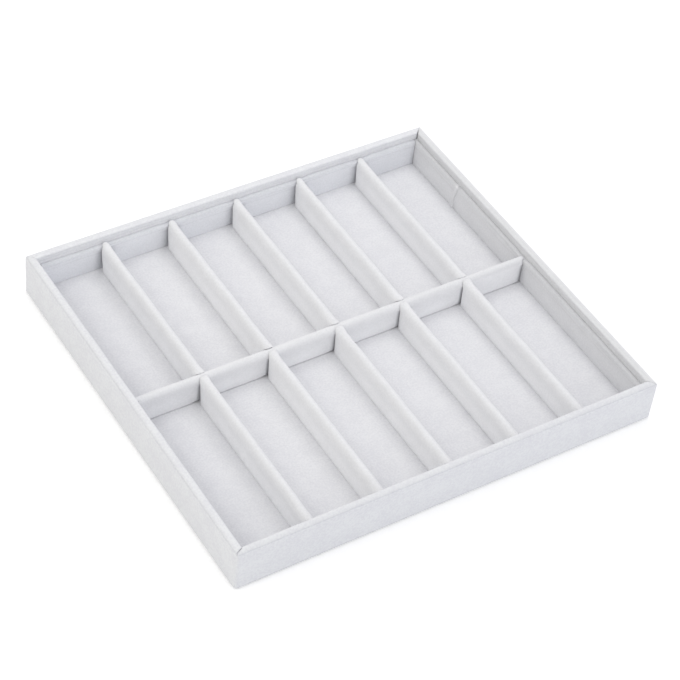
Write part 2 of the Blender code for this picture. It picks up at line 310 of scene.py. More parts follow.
def makeGreyBoard():
    look = boardLook
    material, tree, shader = newMaterial("grey board")
    spot = addNode(tree, "TexCoord")
    flecks = addNode(tree, "TexNoise", {"Scale": 1 / (look["fleck"] * mm), "Detail": 4.0}, {
        "Vector": (spot, "Object")})
    clouds = addNode(tree, "TexNoise", {"Scale": 1 / (look["cloud"] * mm), "Detail": 2.0}, {
        "Vector": (spot, "Object")})
    both = addNode(tree, "Mix", {"data_type": "FLOAT", "Factor": look["cloudShare"]}, {
        2: (flecks, "Fac"), 3: (clouds, "Fac")})
    darkest, lightest = look["contrast"]
    spread = addNode(tree, "MapRange", {"From Min": darkest, "From Max": lightest}, {"Value": (both, 0)})
    color = addNode(tree, "Mix", {"data_type": "RGBA", 6: hexColor(look["dark"]),
                                  7: hexColor(look["light"])}, {0: (spread, "Result")})
    bump = addNode(tree, "Bump", {"Distance": look["depth"] * mm}, {"Height": (flecks, "Fac")})
    joinShader(tree, shader, color, bump, {"Roughness": look["roughness"]})
    return material


# Spun-bonded sheet, hot-pressed in a grid of small dots: papery, off-white
sheetLook = {"dotPitch": 2.2, "dotEdge": (0.18, 0.30), "fiber": 0.8, "light": "E8E8E5", "dark": "D9D9D5",
             "depth": 0.06, "roughness": 0.75}


def makeBondedSheet():
    look = sheetLook
    material, tree, shader = newMaterial("spun-bonded sheet")
    spot = addNode(tree, "TexCoord")
    dots = addNode(tree, "TexVoronoi", {"Scale": 1 / (look["dotPitch"] * mm), "Randomness": 0.0}, {
        "Vector": (spot, "Object")})
    fibers = addNode(tree, "TexNoise", {"Scale": 1 / (look["fiber"] * mm), "Detail": 3.0}, {
        "Vector": (spot, "Object")})
    inner, outward = look["dotEdge"]
    pressed = addNode(tree, "MapRange", {"From Min": inner, "From Max": outward}, {
        "Value": (dots, "Distance")})
    color = addNode(tree, "Mix", {"data_type": "RGBA", 6: hexColor(look["dark"]),
                                  7: hexColor(look["light"])}, {0: (fibers, "Fac")})
    height = addNode(tree, "Math", {"operation": "ADD"}, {0: (pressed, "Result"), 1: (fibers, "Fac")})
    bump = addNode(tree, "Bump", {"Distance": look["depth"] * mm}, {"Height": (height, 0)})
    joinShader(tree, shader, color, bump, {"Roughness": look["roughness"]})
    return material


finishes = {name: makeVelvet(name) for name in velvets}
greyBoard = makeGreyBoard()
bondedSheet = makeBondedSheet()
for name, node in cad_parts.items():
    if "board" in name:
        node.data.materials.clear()
        node.data.materials.append(greyBoard)
print("materials ready")


# The four sides. A strip is modelled as the front one, then turned to its side. Going round,
# each strip's +X end meets the next strip's -X end.
sideTurns = {"front": 0, "right": 90, "back": 180, "left": 270}
sideOrder = list(sideTurns)


def sideReach(side):  # distance to the outer face, and half the length of the side
    halfWidth, halfDepth = trayHigh.x, trayHigh.y
    return (halfDepth, halfWidth) if side in ("front", "back") else (halfWidth, halfDepth)


# Bottom sheet
bottom = {"corner": 3.0, "ripple": 0.06, "rippleSize": 25.0, "cell": 14.0}


def makeBottomSheet():
    low, high = nodeBox("bottom_sheet")
    piece = startBlock("bottomSheet", low, high)
    roundEdges(bottom["corner"] * mm, 4, lambda edge: along(edge, 2))
    for axis in (0, 1):
        count = int((high[axis] - low[axis]) / (bottom["cell"] * mm))
        sliceAt(axis, [low[axis] + (high[axis] - low[axis]) * step / count for step in range(1, count)])
    leaveEdit()
    for vertex in piece.data.vertices:  # the lower face lies flat
        if vertex.co.z > low.z + 0.1 * mm:
            ripple = (1 + uneven(vertex.co, bottom["rippleSize"] * mm, 3)) / 2
            vertex.co.z -= bottom["ripple"] * mm * ripple
    softShade(piece, 30)
    dress(piece, bondedSheet, "bottom_sheet", "bottom_sheet")


# Outer wrap: one strip round the walls, turned under the base and in over the top
outer = {
    "thickness": 0.9,
    "corner": 3.0,
    "topRound": 1.9,
    "footRound": 1.7,
    "hem": 14.0,
    "turnIn": 5.6,
    "swell": (0.14, 34.0),  # height and length of its gentle swells
    "swellEnds": (5.0, 4.0),  # where they fade out at the foot and at the top
    "pull": 0.13,  # small pulls under the rim
    "pullSize": 7.0,
    "pullUpright": 0.4,  # under 1, so that they run upright
    "pullAt": (4.0, 5.0),  # mm below the top where they are deepest, and how far they reach
    "cornerPull": 2.4,  # how many times deeper they are at a corner, and where that fades
    "cornerReach": (10.0, 45.0),
}


def makeOuterWrap():
    low, high = nodeBox("outer_cover")
    piece = startBlock("outerWrap", low, high)
    for up, width in ((-1, outer["hem"]), (1, outer["turnIn"])):
        pick("FACE", lambda face: face.normal.z * up > 0.9)
        bpy.ops.mesh.inset(thickness=width * mm, use_even_offset=True)
        bpy.ops.mesh.delete(type="FACE")
    roundEdges(outer["corner"] * mm, 5, lambda edge: along(edge, 2))
    for level, width in ((high.z, outer["topRound"]), (low.z, outer["footRound"])):
        roundEdges(width * mm, 5, lambda edge: all(abs(v.co.z - level) < tiny for v in edge.verts)
                   and sum(abs(face.normal.z) < 0.5 for face in edge.link_faces) == 1)
    cutAlong(0, (11, 12), 8)
    cutAlong(1, (11, 12), 8)
    cutAlong(2, (11,), 8)
    leaveEdit()
    deepest, swellLength = outer["swell"]
    footFade, topFade = outer["swellEnds"]
    for vertex in piece.data.vertices:
        place = vertex.co
        aboveFoot, belowTop = (place.z - low.z) / mm, (high.z - place.z) / mm
        swell = abs(uneven(place, swellLength * mm, 5))
        swell *= smooth(aboveFoot, 0.0, footFade) * smooth(belowTop, 0.0, topFade)
        toCorner = max(high.x - abs(place.x), high.y - abs(place.y)) / mm
        pull = abs(uneven((place.x, place.y, place.z * outer["pullUpright"]), outer["pullSize"] * mm, 6))
        pull *= hump(belowTop, *outer["pullAt"])
        pull *= outer["cornerPull"] - (outer["cornerPull"] - 1) * smooth(toCorner, *outer["cornerReach"])
        push = (deepest * swell + outer["pull"] * pull) * mm
        if high.x - abs(place.x) < high.y - abs(place.y):
            place.x -= push if place.x > 0 else -push
        else:
            place.y -= push if place.y > 0 else -push
    giveThickness(piece, outer["thickness"] * mm)
    softShade(piece)
    dress(piece, finishes["outer velvet"], "outer_velvet", "outer_cover")


def creaseAt(place, look, seed):  # how deep the creases are here, in mm, and how strong, 0 to 1
    depth, strongest = 0.0, 0.0
    spot = (place.x, 0, 0)
    stray, strayLength = look["creaseStray"]
    for number, (height, deepest) in enumerate(look["creases"]):
        height += stray * uneven(spot, strayLength * mm, seed + 11 + number)
        strength = smooth(uneven(spot, look["creaseLength"] * mm, seed + 31 + number), *look["creaseEnds"])
        strength *= hump(place.z / mm, height, look["creaseReach"])
        depth += deepest * strength
        strongest = max(strongest, strength)
    return depth, strongest


# Rim wraps: a strip on each side, over the top and down inside, mitred at the corners
rim = {
    "thickness": 0.9,
    "innerRound": {"front": 2.5, "right": 1.8, "back": 1.6, "left": 1.1},
    "topTo": (0.3, 1.7),  # mm below the top where a point stops counting as on top
    "outerDrop": 1.12,  # how far the outer edge lies below the top
    "outerFall": (0.4, 3.8),  # mm from the outer face over which it rises
    "rest": (40.62, 40.75),  # heights of the outer wrap's fold, on which the strip lies
    "restAcross": (1.2, 2.2),  # mm from the outer face where it goes from one to the other
    "restWidth": 5.2,  # and how far in it reaches
    "dip": (0.22, 3.6, 2.4),  # depth, middle and half width of the hollow along the top
    "waver": (0.132, 30.0),  # how far the top dips here and there, and over what length
    "wander": (0.16, 26.0),  # the same for how far the inner edge strays
    "wanderAcross": (4.0, 7.0),
    "wanderEnd": (5.0, 22.0),
    "tuck": (0.55, 1.3),  # how far a folded end rounds down into an open seam, and its reach
    "tuckAcross": (1.2, 3.5),
    "tuckShare": (0.2, 2.4),  # the share of it at a shut seam, and what each mm of gap adds
    "gapAcross": (3.5, 6.8),  # mm from the outer face over which a seam's gap changes
    "stopShort": (0.3, 7.6),  # least and most that the -X end stops short
    "mitre": 14.0,  # length over which the cloth is drawn to the mitre
    "pucker": 0.26,
    "puckerEnd": (0.5, 9.0),
    "puckerWave": (3.1, 1.4),  # radians for each mm along and across
    "creases": [(35.9, 0.16), (37.3, 0.20), (39.4, 0.15)],  # their height and depth
    "creaseReach": 0.8,  # half the width of one
    "creaseStray": (0.5, 40.0),  # how far it strays up and down, and over what length
    "creaseLength": 55.0,
    "creaseEnds": (-0.5, 0.5),
    "legFrom": (0.8, 2.2),  # mm below the top over which the leg's painted shade sets in
    "legShade": {"front": 0.1, "right": 0.26, "back": 0.07, "left": 0.1},  # painted shade on the leg inside
    "topShade": {"right": 0.15, "left": 0.03},  # painted shade on the top
    "edgeShade": {"front": 0.13, "left": 0.13},  # painted shade on the outer edge
    "edgeFrom": 1.2,
    "edgeReach": {"front": 7.2, "right": 3.6, "back": 3.6, "left": 3.6},
    # painted shade in the creases
    "creaseShade": 0.08,
    "seamShade": 0.4,  # painted shade on a folded end in an open seam
    "seamReach": (0.1, 0.9),
}
# Each corner's seam, from the outer face inwards: its start and slope, at 45 degrees 0 and 1, then
# half its gap at the outer face and at the inner one
rimSeams = {
    "front": (0.3, 0.96, 0.10, 0.03),  # front-right corner
    "right": (-0.2, 1.03, 0.06, 0.36),  # back-right corner
    "back": (0.1, 1.0, 0.03, 0.03),  # back-left corner
    "left": (2.1, 0.54, 0.36, 0.14),  # front-left corner
}


def seamEnd(side, inward, ahead):  # how far short of the corner a strip ends, in mm
    corner = side if ahead else sideOrder[sideOrder.index(side) - 1]
    start, slope, outerGap, innerGap = rimSeams[corner]
    gap = outerGap + (innerGap - outerGap) * smooth(inward, *rim["gapAcross"])
    if ahead:
        return start + slope * inward + gap, gap
    least, most = rim["stopShort"]
    return min(max((inward - start) / slope, least), most) + gap, gap


def makeRimWrap(side):
    toFace, reach = sideReach(side)
    low, high = nodeBox("rim_cover_front")
    setback, inward = low.y - trayLow.y, high.y - trayLow.y
    low = Vector((-reach, setback - toFace, low.z))
    high = Vector((reach, inward - toFace, high.z))
    piece = startBlock("rimWrap" + side.capitalize(), low, high)
    removeFaces(lambda face: face.normal.z < -0.9 or face.normal.y < -0.9 or abs(face.normal.x) > 0.9)
    roundEdges(rim["innerRound"][side] * mm, 5, lambda edge: along(edge, 0) and len(edge.link_faces) == 2)
    cutAlong(0, (13, 13))
    cutAlong(1, (4,), 3)
    cutAlong(2, (29,), 3)
    sliceAt(1, [low.y + step * mm for step in (0.25, 0.6)])
    sliceAt(0, [end * (reach - step * mm) for end in (-1, 1) for step in (0.3, 0.8, 1.4)])
    leaveEdit()
    seed = 20 + sideOrder.index(side)
    dip, dipAt, dipReach = rim["dip"]
    waver, waverLength = rim["waver"]
    wander, wanderLength = rim["wander"]
    tuck, tuckReach = rim["tuck"]
    shut, perGap = rim["tuckShare"]
    alongWave, acrossWave = rim["puckerWave"]
    crushed = []
    for vertex in piece.data.vertices:
        place = vertex.co
        deep = (place.y + toFace) / mm
        ahead = place.x > 0
        shortfall, gap = seamEnd(side, deep, ahead)
        openness = min(shut + perGap * gap, 1.0)
        fromEnd = (reach - abs(place.x)) / mm
        if fromEnd < rim["mitre"]:
            fromEnd = shortfall + fromEnd * (rim["mitre"] - shortfall) / rim["mitre"]
            place.x = (reach - fromEnd * mm) * (1 if ahead else -1)
        fromSeam = fromEnd - shortfall
        onTop = fade((high.z - place.z) / mm, *rim["topTo"])
        place.z -= rim["outerDrop"] * mm * fade(deep, *rim["outerFall"]) * onTop
        place.z -= dip * mm * hump(deep, dipAt, dipReach) * onTop
        place.z -= waver * mm * (1 + uneven(place, waverLength * mm, seed)) / 2 * onTop
        stray = uneven((place.x, 0, 0), wanderLength * mm, seed + 5) * smooth(fromEnd, *rim["wanderEnd"])
        place.y += wander * mm * stray * smooth(deep, *rim["wanderAcross"]) * onTop
        depth, creased = creaseAt(place, rim, seed)
        place.y -= depth * (1 - onTop) * mm
        nearSeam = fade(fromSeam, *rim["puckerEnd"])
        wave = (1 + sin(fromEnd * alongWave + deep * acrossWave + seed)) / 2
        place.z -= rim["pucker"] * mm * nearSeam * wave * onTop
        atSeam = fade(fromSeam, 0.0, tuckReach)
        place.z -= tuck * openness * mm * atSeam * onTop * smooth(deep, *rim["tuckAcross"])
        # painted shade: on the outer edge, the top and the leg, in creases and in open seams
        edge, top = (rim[name].get(side, 0.0) for name in ("edgeShade", "topShade"))
        shade = edge + (top - edge) * smooth(deep, rim["edgeFrom"], rim["edgeReach"][side])
        shade += (rim["legShade"][side] - shade) * smooth((high.z - place.z) / mm, *rim["legFrom"])
        shade += rim["creaseShade"] * creased * (1 - onTop)
        crushed.append(max(shade, rim["seamShade"] * openness * fade(fromSeam, *rim["seamReach"])))
    paintShade(piece, crushed)
    giveThickness(piece, rim["thickness"] * mm)
    for vertex in piece.data.vertices:
        deep = (vertex.co.y + toFace) / mm
        if deep < rim["restWidth"]:
            lowest, highest = rim["rest"]
            rest = lowest + (highest - lowest) * smooth(deep, *rim["restAcross"])
            vertex.co.z = max(vertex.co.z, rest * mm)
    turnPiece(piece, sideTurns[side])
    softShade(piece, 60)
    finish = finishes["side rim velvet" if side == "right" else "rim velvet"]
    dress(piece, finish, "rim_velvet", "rim_cover_" + side)


# Floor lining: one sheet, its edges turned down under the wall linings
floor = {
    "thickness": 0.9,
    "edge": 1.8,
    "swell": (0.22, 28.0),
    "beside": (0.08, 9.0),  # painted shadow beside the dividers, and its reach
    "besideFrom": 13.0,  # mm from their right faces at which it starts to fade
    "besideWall": (0.12, 26.0),  # painted shade by the front lining, and by the left one
    "besideLeftWall": (0.14, 36.0),
    "underCenter": (0.35, 0.7),  # painted shade along the foot of the centre divider's front
    "fold": (0.05, 1.5),  # painted shade along every face that looks left or right
}
shortDividers = [name[:-6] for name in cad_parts
                 if name.startswith(("front_divider", "back_divider")) and name.endswith("_board")]


def closeTo(distance, amount, reach):  # fades out over the reach, which is in mm
    return fading(distance / mm, amount, 0.0, reach)


def makeFloorLining():
    low, high = nodeBox("floor_cover")
    piece = startBlock("floorLining", low, high)
    removeFaces(lambda face: face.normal.z < -0.9)
    roundEdges(floor["edge"] * mm, 4, lambda edge: along(edge, 2) or len(edge.link_faces) == 2)
    cutAlong(0, (11, 12), 8)
    cutAlong(1, (10, 12), 8)
    faces = sorted({round(nodeBox(name + "_cover")[end].x, 6) for name in shortDividers for end in (0, 1)})
    centerHalf = nodeBox("center_divider_cover")[1].y
    wallInside = nodeBox("liner_cover_right_front")[0].x
    frontInside = nodeBox("liner_cover_front")[1].y
    sliceAt(0, [face + side * step * mm for face in faces for side in (-1, 1) for step in (0.2, 1.4)])
    sliceAt(1, [side * (centerHalf + step * mm) for side in (-1, 1) for step in (0.2, 0.9, 2.0)])
    leaveEdit()
    lefts, rights = faces[0::2] + [wallInside], [-wallInside] + faces[1::2]
    swell, swellLength = floor["swell"]
    crushed = []
    for vertex in piece.data.vertices:
        place = vertex.co
        if place.z > high.z - 0.1 * mm:
            place.z -= swell * mm * (1 + uneven(place, swellLength * mm, 8)) / 2
        fromLeft = min([place.x - face for face in rights if place.x >= face] or [0.0])
        toRight = min([face - place.x for face in lefts if face >= place.x] or [0.0])
        toFront = place.y - frontInside
        toCenter = abs(place.y) - centerHalf
        # painted shade beside the dividers, the walls and the centre divider's foot
        shade = closeTo(max(fromLeft - floor["besideFrom"] * mm, 0.0), *floor["beside"])
        shade += closeTo(toRight, *floor["beside"])
        shade += closeTo(toFront, *floor["besideWall"])
        shade += closeTo(place.x + wallInside, *floor["besideLeftWall"])
        shade += closeTo(toCenter, *floor["underCenter"]) if place.y < 0 < toCenter else 0.0
        crushed.append(shade + closeTo(min(fromLeft, toRight), *floor["fold"]))
    paintShade(piece, crushed)
    giveThickness(piece, floor["thickness"] * mm)
    softShade(piece)
    dress(piece, finishes["floor velvet"], "floor_velvet", "floor_cover")


# Wall linings: velvet folded over a thin board, standing on the floor
liner = {
    "thickness": 0.35,
    "fold": (1.5, 0.4),  # its radius towards the room, and towards the rim
    "hem": 12.0,
    "upperFrom": 8.0,  # mm above the foot where a point comes to count as upper
    "swell": (0.20, 22.0),  # unevenness of the face, and the length of a swell
    "swellBack": 0.6,  # the share of it that lies behind the face
    "swellEnd": 8.0,
    "waver": (0.12, 18.0),  # how far the top strays up and down, and over what length
    "foot": 0.2,  # how far the foot settles on the floor lining
    "pressed": 33.4,  # height of the fold where a divider's tip lies on it
    "pressedFrom": (4.0, 13.0),  # mm from the middle of the tip over which it rises
    "hugRim": 0.28,  # how far the fold leans against the rim
    "endClose": (0.8, 0.45, 0.7),  # how far the back one's left end, right foot and right top reach out
    "endCloseReach": 6.0,  # mm over which they do
    "creases": [(31.7, 0.28), (29.8, 0.24), (27.4, 0.16)],  # their height and depth
    "creaseReach": 1.0,
    "creaseStray": (0.7, 34.0),
    "creaseLength": 48.0,
    "creaseEnds": (-0.6, 0.5),
    # painted shade in the creases
    "creaseShade": 0.1,
    "cornerShade": {"front": 0.1, "right": 0.1, "back": 0.3, "left": 0.1},  # painted shade beside a divider's end
    "cornerReach": (4.2, 12.0),
    "cornerTop": (0.75, 0.95),
    "endShade": (0.3, 0.6, 4.0),  # painted shade in the back right corner, the share lost at the top, and its reach
    "topShade": {"front": 0.1, "right": 0.12, "back": 0.17, "left": 0.1},  # painted shade along the fold
    "topShadeFrom": (0.3, 1.6),
    # painted shade on the right lining's upper part
    "upperShade": {"right": 0.06},
    "upperShadeTo": 0.7,
    "joint": {  # where the folded end of the rear lining laps over the front one, on the right
        "reach": 12.0,  # mm over which their ends lean
        "lean": 3.0,  # how far the foot of the joint leans back
        "lap": 1.6,
        "lift": (1.0, 1.6, 6.0),  # how far the folded end stands proud, and where that fades
        "round": 2.2,  # mm over which it rounds back at its edge, and how far
        "drop": 1.1,
        "sink": (0.25, 1.2, 3.2),  # how far the front lining lies back under it
        "cleanFrom": (1.5, 4.0),  # the folded end has no painted shade, the front lining beside it has some
        "shade": (0.06, 2.5, 6.0),
    },
}
linerTops = {  # height of the fold at the strip's two ends, +X end last, as modelled on the front
    "front": (33.6, 33.9),
    "right_front": (34.4, 34.5),
    "right_rear": (34.5, 34.4),
    "back": (34.8, 33.4),
    "left": (34.0, 33.8),
}


def tipsAgainst(side, back):  # where dividers meet a side's lining, along the strip
    if side in ("left", "right"):
        return [(back @ nodeMiddle("center_divider_cover")).x]
    return [(back @ nodeMiddle(name + "_cover")).x for name in shortDividers if name.startswith(side)]


def shapeJoint(place, atJoint, folded, facing, upper, shade):  # moves the point and gives its painted shade
    look = liner["joint"]
    near = fade(atJoint, 0.0, look["reach"])
    if folded:
        rounding = 1 - min(atJoint / look["round"], 1.0)
        rise = fading(atJoint, *look["lift"])
        rise -= look["drop"] * (1 - sqrt(1 - rounding ** 2))
        place.y += rise * mm * facing
        place.x -= look["lap"] * mm * near * facing
        shade *= smooth(atJoint, *look["cleanFrom"])
    else:
        place.y -= fading(atJoint, *look["sink"]) * mm * facing
        shade += fading(atJoint, *look["shade"])
    place.x += look["lean"] * mm * (0.5 - upper) * near
    return shade


def makeLiner(name):
    side = name.split("_")[0]
    turn = sideTurns[side]
    nodeLow, nodeHigh = nodeBox("liner_cover_" + name)
    back = Matrix.Rotation(radians(-turn), 3, "Z")
    corners = [back @ nodeLow, back @ nodeHigh]
    low = Vector(min(corner[axis] for corner in corners) for axis in range(3))
    high = Vector(max(corner[axis] for corner in corners) for axis in range(3))
    piece = startBlock("liner" + name.title().replace("_", ""), low, high)
    removeFaces(lambda face: face.normal.z < -0.9 or abs(face.normal.x) > 0.9)
    for inside, width in zip((True, False), liner["fold"]):
        roundEdges(width * mm, 5, lambda edge: along(edge, 0) and len(edge.link_faces) == 2
                   and (edge.verts[0].co.y > (low.y + high.y) / 2) == inside
                   and edge.verts[0].co.z > high.z - tiny
                   and (inside or edge.verts[0].co.y < low.y + tiny))
    cutAlong(2, (29,), 8)
    hemEnd = high.z - liner["hem"] * mm
    removeFaces(lambda face: face.normal.y < -0.9 and face.calc_center_median().z < hemEnd)
    cutAlong(0, (int((high.x - low.x) / (19 * mm)), 9), 4)
    sliceAt(0, [low.x + step * mm for step in (0.3, 0.7, 1.2)])
    sliceAt(0, [high.x - step * mm for step in (0.3, 0.7, 1.2)])
    leaveEdit()
    seed = 40 + list(linerTops).index(name)
    start, end = linerTops[name]
    tips = tipsAgainst(side, back)
    swell, swellLength = liner["swell"]
    waver, waverLength = liner["waver"]
    crushed = []
    for vertex in piece.data.vertices:
        place = vertex.co
        upper = smooth(place.z, low.z + liner["upperFrom"] * mm, high.z)
        toTip = min(abs(place.x - tip) for tip in tips) / mm
        top = start + (end - start) * (place.x - low.x) / (high.x - low.x)
        top += waver * uneven((place.x, 0, 0), waverLength * mm, seed)
        top += (liner["pressed"] - top) * fade(toTip, *liner["pressedFrom"])
        place.z += (max(top, liner["pressed"]) * mm - high.z) * upper
        place.z -= liner["foot"] * mm * (1 - upper)
        facing = smooth(place.y, (low.y + high.y) / 2, high.y)
        fromEnd = min(place.x - low.x, high.x - place.x) / mm
        bulge = (1 + uneven(place, swellLength * mm, seed)) / 2 - liner["swellBack"]
        place.y += swell * mm * bulge * facing * smooth(fromEnd, 0.0, liner["swellEnd"])
        place.y -= liner["hugRim"] * mm * (1 - facing) * upper
        depth, creased = creaseAt(place, liner, seed)
        place.y -= depth * mm * facing
        # painted shade: in the corners, along the fold, in creases and at the joint
        shade = 0.0
        if name == "back":
            left, rightFoot, rightTop = liner["endClose"]
            right = rightFoot + (rightTop - rightFoot) * upper
            reach = liner["endCloseReach"] * mm
            dark, loss, darkReach = liner["endShade"]
            place.x += left * mm * smooth(place.x, high.x - reach, high.x)
            place.x -= right * mm * smooth(-place.x, high.x - reach, high.x)
            shade = dark * (1 - loss * upper) * fade(place.x, low.x, low.x + darkReach * mm)
        besideTip = fade(toTip, *liner["cornerReach"]) * fade(upper, *liner["cornerTop"])
        shade += liner["cornerShade"][side] * besideTip
        shade += liner["topShade"][side] * fade(top - place.z / mm, *liner["topShadeFrom"])
        shade += liner["upperShade"].get(side, 0.0) * smooth(upper, 0.0, liner["upperShadeTo"])
        shade += liner["creaseShade"] * creased
        if side == "right":
            atJoint = place.x - low.x if name == "right_rear" else high.x - place.x
            shade = shapeJoint(place, atJoint / mm, name == "right_rear", facing, upper, shade)
        crushed.append(shade)
    paintShade(piece, crushed)
    giveThickness(piece, liner["thickness"] * mm)
    turnPiece(piece, turn)
    softShade(piece, 60)
    finish = finishes["side liner velvet" if side == "right" else "liner velvet"]
    dress(piece, finish, "liner_velvet", "liner_cover_" + name)


# Dividers: velvet over thin foam over a board, glued to the floor
divider = {
    # painted shade across the padded top: its amount, the way it fades, and from where to where
    "short": {"thickness": 1.0, "round": 4.0, "crown": 6.0, "endRound": 1.1, "cuts": (83,),
              "swell": 0.20, "brush": (0.14, -1, -4.2, 2.8), "lipRange": (33.5, 34.2)},
    "center": {"thickness": 0.7, "round": 3.1, "crown": 4.6, "endRound": 0.9, "cuts": (13, 13),
               "swell": 0.16, "brush": (0.08, 1, -2.5, 2.2), "lipRange": (33.5, 33.9)},
    "swellLength": 24.0,
    "topSwellLength": 20.0,
    "swellFrom": (0.0, 0.4),  # shares of the height over which the sway sets in
    "swayAcross": 0.2,  # both faces sway much alike
    "endReach": 14.0,  # length over which the foot of an end leans back
    "tipReach": 8.0,  # length over which its top laps over the lining, above the height lipRange
    "centerReachOut": 0.3,  # how far the centre divider's end faces bulge, and from what height
    "reachOutFrom": (0.5, 0.8),
    "foot": (0.2, 0.3),  # how far the foot settles on the floor lining, and up to what height
    "squareEnd": 0.8,  # how far the folded end of a padded top squares up
    "squareReach": (1.0, 5.0),
    "endSettle": (0.5, 1.2),  # how far a back one's top settles at the centre divider, and squares up
    "settleReach": 3.5,
    "shoulder": (0.16, 1.5),  # how far a short one's top reaches over the centre divider's shoulder
    "shoulderReach": (0.5, 6.0),
    "shoulderRise": 0.985,  # how much of the shoulder's curve counts
    "padding": {"pressure": 0.4, "mostSwelling": 0.3, "frames": 20, "quality": 4,
                "gluedFoot": 1.0, "gluedEnd": 1.5},
    "shade": {  # painted shade; heights are shares of the divider's height
        "end": 0.75,  # on the end faces, and mm from the end over which it fades
        "endReach": (0.2, 1.3),
        "endTop": (0.72, 0.86),
        "foot": (0.06, 0.5, 1.3),
        "side": 0.135,  # on the sides, in their upper half
        "sideFrom": (0.3, 0.8),
        "sideTo": (0.85, 0.95),
        "brushFrom": (0.78, 0.9),
        "even": 0.05,  # all over
        "clearFrom": (-0.12, -0.02),  # the centre divider's front has less of it towards the right
        "clearSide": 0.4,
        "clearTop": (0.15, 0.6),
        "cleanestFrom": (0.12, 0.15),  # and least at its right end
        "cleanest": 0.8,
        "cleanestTop": (0.8, 0.9),
        "worn": 0.03,  # its top gets more of it towards the right
        "wornFrom": (-0.1, 0.16),
    },
    "crossing": {  # the centre divider's front, where a short divider butts against it
        "lift": 0.9,  # how far its foot gapes left of the joint, less and less to the right
        "liftAt": (4.5, 9.5),
        "liftHeight": 3.0,
        "liftShare": (1.2, 0.6),
        "liftFrom": (-0.03, 0.06),
        "behind": 0.6,  # painted shade in the slit, and mm from the joint over which it fades
        "behindReach": (4.4, 6.5),
        "behindTop": (0.7, 0.85),
        "crack": 0.4,  # painted shade along the foot, and as much again near the joint
        "crackReach": (4, 11),
        "crackHeight": (0.2, 0.9),
    },
}
# Each end of a divider, in mm: how far its foot stands back, its top laps over the lining and its
# tip lifts. The end at the centre divider comes first, and the centre divider's own left end.
dividerEnds = {
    "front_divider_1": ((2.7, 0, 0), (1.6, 2.6, 0.4)),
    "front_divider_2": ((2.0, 0, 0), (1.4, 2.8, 0.2)),
    "front_divider_3": ((1.5, 0, 0), (1.8, 2.4, 0.5)),
    "front_divider_4": ((1.1, 0, 0), (1.2, 2.7, 0.3)),
    "front_divider_5": ((1.0, 0, 0), (1.5, 2.5, 0.4)),
    "back_divider_1": ((1.4, 0, 0), (3.7, 3.0, 1.2)),
    "back_divider_2": ((1.2, 0, 0), (2.6, 3.2, 1.0)),
    "back_divider_3": ((1.6, 0, 0), (2.2, 3.1, 0.9)),
    "back_divider_4": ((1.5, 0, 0), (2.6, 3.1, 1.0)),
    "back_divider_5": ((1.3, 0, 0), (1.8, 3.0, 0.8)),
    "center_divider": ((1.4, 2.7, 0.1), (0.5, 2.0, 0.0)),
}


def fillOut(piece, low, length):  # cloth under the padding's pressure, glued at the foot and ends
    padding = divider["padding"]
    still = [vertex.co.copy() for vertex in piece.data.vertices]
    glued = piece.vertex_groups.new(name="glued")
    foot = low + padding["gluedFoot"] * mm
    end = length / 2 - padding["gluedEnd"] * mm
    fixed = [v.index for v in piece.data.vertices if v.co.z < foot or abs(v.co.x) > end]
    glued.add(fixed, 1.0, "REPLACE")
    cloth = piece.modifiers.new("cloth", "CLOTH")
    cloth.settings.quality = padding["quality"]
    cloth.settings.use_pressure = True
    cloth.settings.uniform_pressure_force = padding["pressure"]
    cloth.settings.vertex_group_mass = glued.name
    cloth.settings.effector_weights.gravity = 0.0
    for frameNumber in range(1, padding["frames"] + 1):
        bpy.context.scene.frame_set(frameNumber)
    pickPiece(piece)
    bpy.ops.object.modifier_apply(modifier=cloth.name)
    bpy.context.scene.frame_set(1)
    piece.vertex_groups.clear()
    most = padding["mostSwelling"] * mm
    for vertex, start in zip(piece.data.vertices, still):
        move = vertex.co - start
        if move.length > most:
            vertex.co = start + move * most / move.length


def makeDividerBlank(kind, length, thickness, low, high):
    look = divider[kind]
    corner = Vector((length / 2, thickness / 2, 0))
    piece = startBlock(kind + "DividerBlank", Vector((0, 0, low)) - corner, Vector((0, 0, high)) + corner)
    removeFaces(lambda face: face.normal.z < -0.9)
    roundEdges(look["round"] * mm, 6, lambda edge: along(edge, 0) and len(edge.link_faces) == 2)
    atEnd = lambda v: abs(v.co.x) > length / 2 - tiny
    roundEdges(look["endRound"] * mm, 3, lambda edge: all(map(atEnd, edge.verts)) and not along(edge, 0)
               and len(edge.link_faces) == 2)
    pick("FACE", lambda face: abs(face.normal.x) > 0.99)
    bpy.ops.mesh.inset(thickness=0.5 * mm, use_even_offset=True, use_boundary=False)
    cutAlong(0, look["cuts"], 8)
    cutAlong(2, (9,), 12)
    sliceAt(2, [low + 0.6 * mm, low + 1.2 * mm])
    leaveEdit()
    curve, crown = look["round"] * mm, look["crown"] * mm
    for vertex in piece.data.vertices:  # the top is arched higher than it is wide
        below = high - vertex.co.z
        if below < curve:
            vertex.co.z = high - below * crown / curve
        else:
            vertex.co.z = low + (vertex.co.z - low) * (high - low - crown) / (high - low - curve)
    fillOut(piece, low, length)
    return piece


centerTop = nodeBox("center_divider_cover")[1].z
rightEnd = nodeBox("center_divider_cover")[1].x + 3 * mm  # its foot gapes there too
joints = sorted({round(nodeMiddle(name + "_cover").x, 6) for name in shortDividers}) + [rightEnd]


def shoulderGap(height):  # how far the centre divider's top falls back from its face, in mm
    across, crown = divider["center"]["round"], divider["center"]["crown"]
    over, overFrom = divider["shoulder"]
    rise = min(max((height - centerTop) / mm / crown + 1, 0.0), divider["shoulderRise"])
    return across * (1 - sqrt(1 - rise ** 2)) + over * smooth(rise * crown, 0.0, overFrom)


